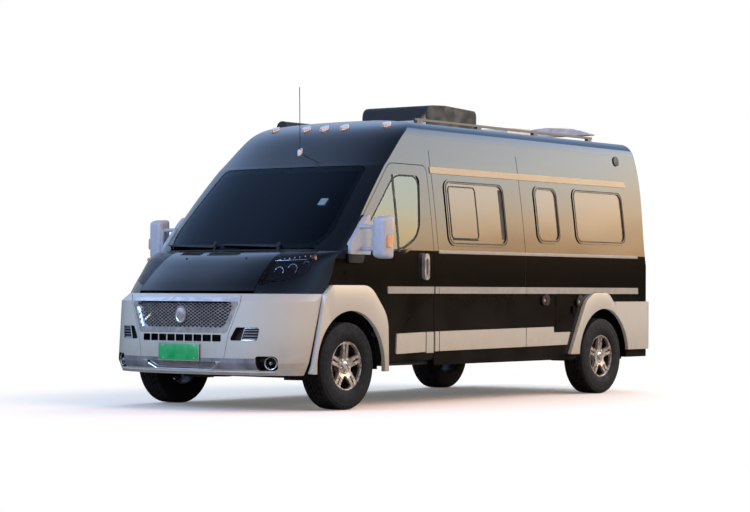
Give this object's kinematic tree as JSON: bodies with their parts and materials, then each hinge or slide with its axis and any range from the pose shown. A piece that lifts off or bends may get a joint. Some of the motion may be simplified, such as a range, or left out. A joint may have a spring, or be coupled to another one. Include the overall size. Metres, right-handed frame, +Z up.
{
  "type": "camper van",
  "caption": "High-roof camper van with opening doors, bonnet and locker, steered front wheels, roof air conditioner, awning and aerials.",
  "frame": {"origin": "on the ground, in the middle of the length and width", "axes": "+X forward, +Y to the left of the van, +Z up"},
  "size_m": [5.998, 2.6, 2.7801],
  "materials": {
    "black_paint": "gloss black clear-coated paint",
    "silver_paint": "satin silver paint on moulded panels",
    "chrome": "bright plated",
    "tinted_glass": "dark privacy glass",
    "clear_glass": "green-blue laminated glass",
    "lamp_lens": "smoked clear lens",
    "red_lens": "red lens",
    "amber_lens": "clear and amber lens",
    "black_plastic": "grained black plastic",
    "gloss_plastic": "gloss dark grey plastic",
    "white_plastic": "pale plastic",
    "steel": "black chassis paint",
    "cast_iron": "cast iron and steel",
    "alloy": "silver painted cast alloy",
    "aluminium": "anodised extrusion",
    "tyre": "black tyre rubber",
    "seat_fabric": "woven seat cloth",
    "curtain": "beige-grey pleated curtain",
    "tank": "moulded tank plastic"
  },
  "bodies": {
    "body": {"air_conditioner": "gloss_plastic", "arch_flares": "silver_paint", "awning": "aluminium", "cab_curtain": "curtain", "cab_roof": "black_paint", "cab_seats": "seat_fabric", "chassis": "steel", "cowl_panel": "black_plastic", "dashboard": "black_plastic", "engine_block": "cast_iron", "floor": "steel", "front_bumper": "silver_paint", "front_lamps": "lamp_lens", "grille_frame": "chrome", "grille_mesh": "chrome", "marker_lamps": "amber_lens", "rear_axle": "cast_iron", "rear_bumper": "silver_paint", "roof_fittings": "white_plastic", "roof_panel": "black_paint", "roof_rails": "aluminium", "screen_frame": "black_paint", "service_tub": "black_plastic", "side_panel_left": "black_paint", "side_panel_right": "black_paint", "side_trim": "silver_paint", "side_windows": "tinted_glass", "sliding_door": "black_paint", "tail_lamps": "red_lens", "under_floor_units": "tank", "wheelhouses": "black_plastic", "window_frames": "chrome", "windscreen": "clear_glass", "wings": "black_paint"},
    "bonnet": {"bonnet": "black_paint"},
    "cab_door_left": {"door_left": "black_paint", "door_glass_left": "clear_glass", "door_trim_left": "silver_paint"},
    "cab_door_right": {"door_right": "black_paint", "door_glass_right": "clear_glass", "door_trim_right": "silver_paint"},
    "tail_door_left": {"rear_door_left": "black_paint", "rear_glass_left": "tinted_glass"},
    "tail_door_right": {"rear_door_right": "black_paint", "rear_glass_right": "tinted_glass"},
    "locker_lid": {"service_lid": "black_paint"},
    "steering_wheel": {"steering_wheel": "black_plastic"},
    "knuckle_left": {"knuckle_left": "cast_iron"},
    "knuckle_right": {"knuckle_right": "cast_iron"},
    "wheel_front_left": {"tyre_front_left": "tyre", "rim_front_left": "alloy"},
    "wheel_front_right": {"tyre_front_right": "tyre", "rim_front_right": "alloy"},
    "wheel_rear_left": {"tyre_rear_left": "tyre", "rim_rear_left": "alloy"},
    "wheel_rear_right": {"tyre_rear_right": "tyre", "rim_rear_right": "alloy"}
  },
  "joints": [
    {"name": "bonnet_lift", "type": "hinge", "parent": "body", "child": "bonnet", "pos_m": [2.34001, 0, 1.315], "axis": [0, -1, 0], "range_deg": [0, 50]},
    {"name": "cab_door_left_swing", "type": "hinge", "parent": "body", "child": "cab_door_left", "pos_m": [2.084, 1.018, 1.2], "axis": [0, 0, -1], "range_deg": [0, 68]},
    {"name": "cab_door_right_swing", "type": "hinge", "parent": "body", "child": "cab_door_right", "pos_m": [2.084, -1.018, 1.2], "axis": [0, 0, 1], "range_deg": [0, 68]},
    {"name": "tail_door_left_swing", "type": "hinge", "parent": "body", "child": "tail_door_left", "pos_m": [-2.916, 0.797, 1.4], "axis": [0, 0, -1], "range_deg": [0, 95]},
    {"name": "tail_door_right_swing", "type": "hinge", "parent": "body", "child": "tail_door_right", "pos_m": [-2.916, -0.797, 1.4], "axis": [0, 0, 1], "range_deg": [0, 95]},
    {"name": "locker_lid_swing", "type": "hinge", "parent": "body", "child": "locker_lid", "pos_m": [-1.16, 1.0195, 0.8], "axis": [0, 0, -1], "range_deg": [0, 100]},
    {"name": "steer_left", "type": "hinge", "parent": "body", "child": "knuckle_left", "pos_m": [2.051, 0.76, 0.365], "axis": [0, 0, 1], "range_deg": [-35, 35]},
    {"name": "steer_right", "type": "hinge", "parent": "body", "child": "knuckle_right", "pos_m": [2.051, -0.76, 0.365], "axis": [0, 0, 1], "range_deg": [-35, 35]},
    {"name": "steering_wheel_turn", "type": "hinge", "parent": "body", "child": "steering_wheel", "pos_m": [1.669, 0.47, 1.385], "axis": [-0.788, 0, 0.6157], "range_deg": [-530, 530]},
    {"name": "wheel_front_left_spin", "type": "hinge", "parent": "knuckle_left", "child": "wheel_front_left", "pos_m": [2.051, 0.905, 0.365], "axis": [0, 1, 0], "continuous": true},
    {"name": "wheel_front_right_spin", "type": "hinge", "parent": "knuckle_right", "child": "wheel_front_right", "pos_m": [2.051, -0.905, 0.365], "axis": [0, 1, 0], "continuous": true},
    {"name": "wheel_rear_left_spin", "type": "hinge", "parent": "body", "child": "wheel_rear_left", "pos_m": [-1.984, 0.915, 0.365], "axis": [0, 1, 0], "continuous": true},
    {"name": "wheel_rear_right_spin", "type": "hinge", "parent": "body", "child": "wheel_rear_right", "pos_m": [-1.984, -0.915, 0.365], "axis": [0, 1, 0], "continuous": true}
  ],
  "couplings": [
    {"joint": "steer_right", "follows": "steer_left", "ratio": 1},
    {"joint": "steering_wheel_turn", "follows": "steer_left", "ratio": 15}
  ]
}
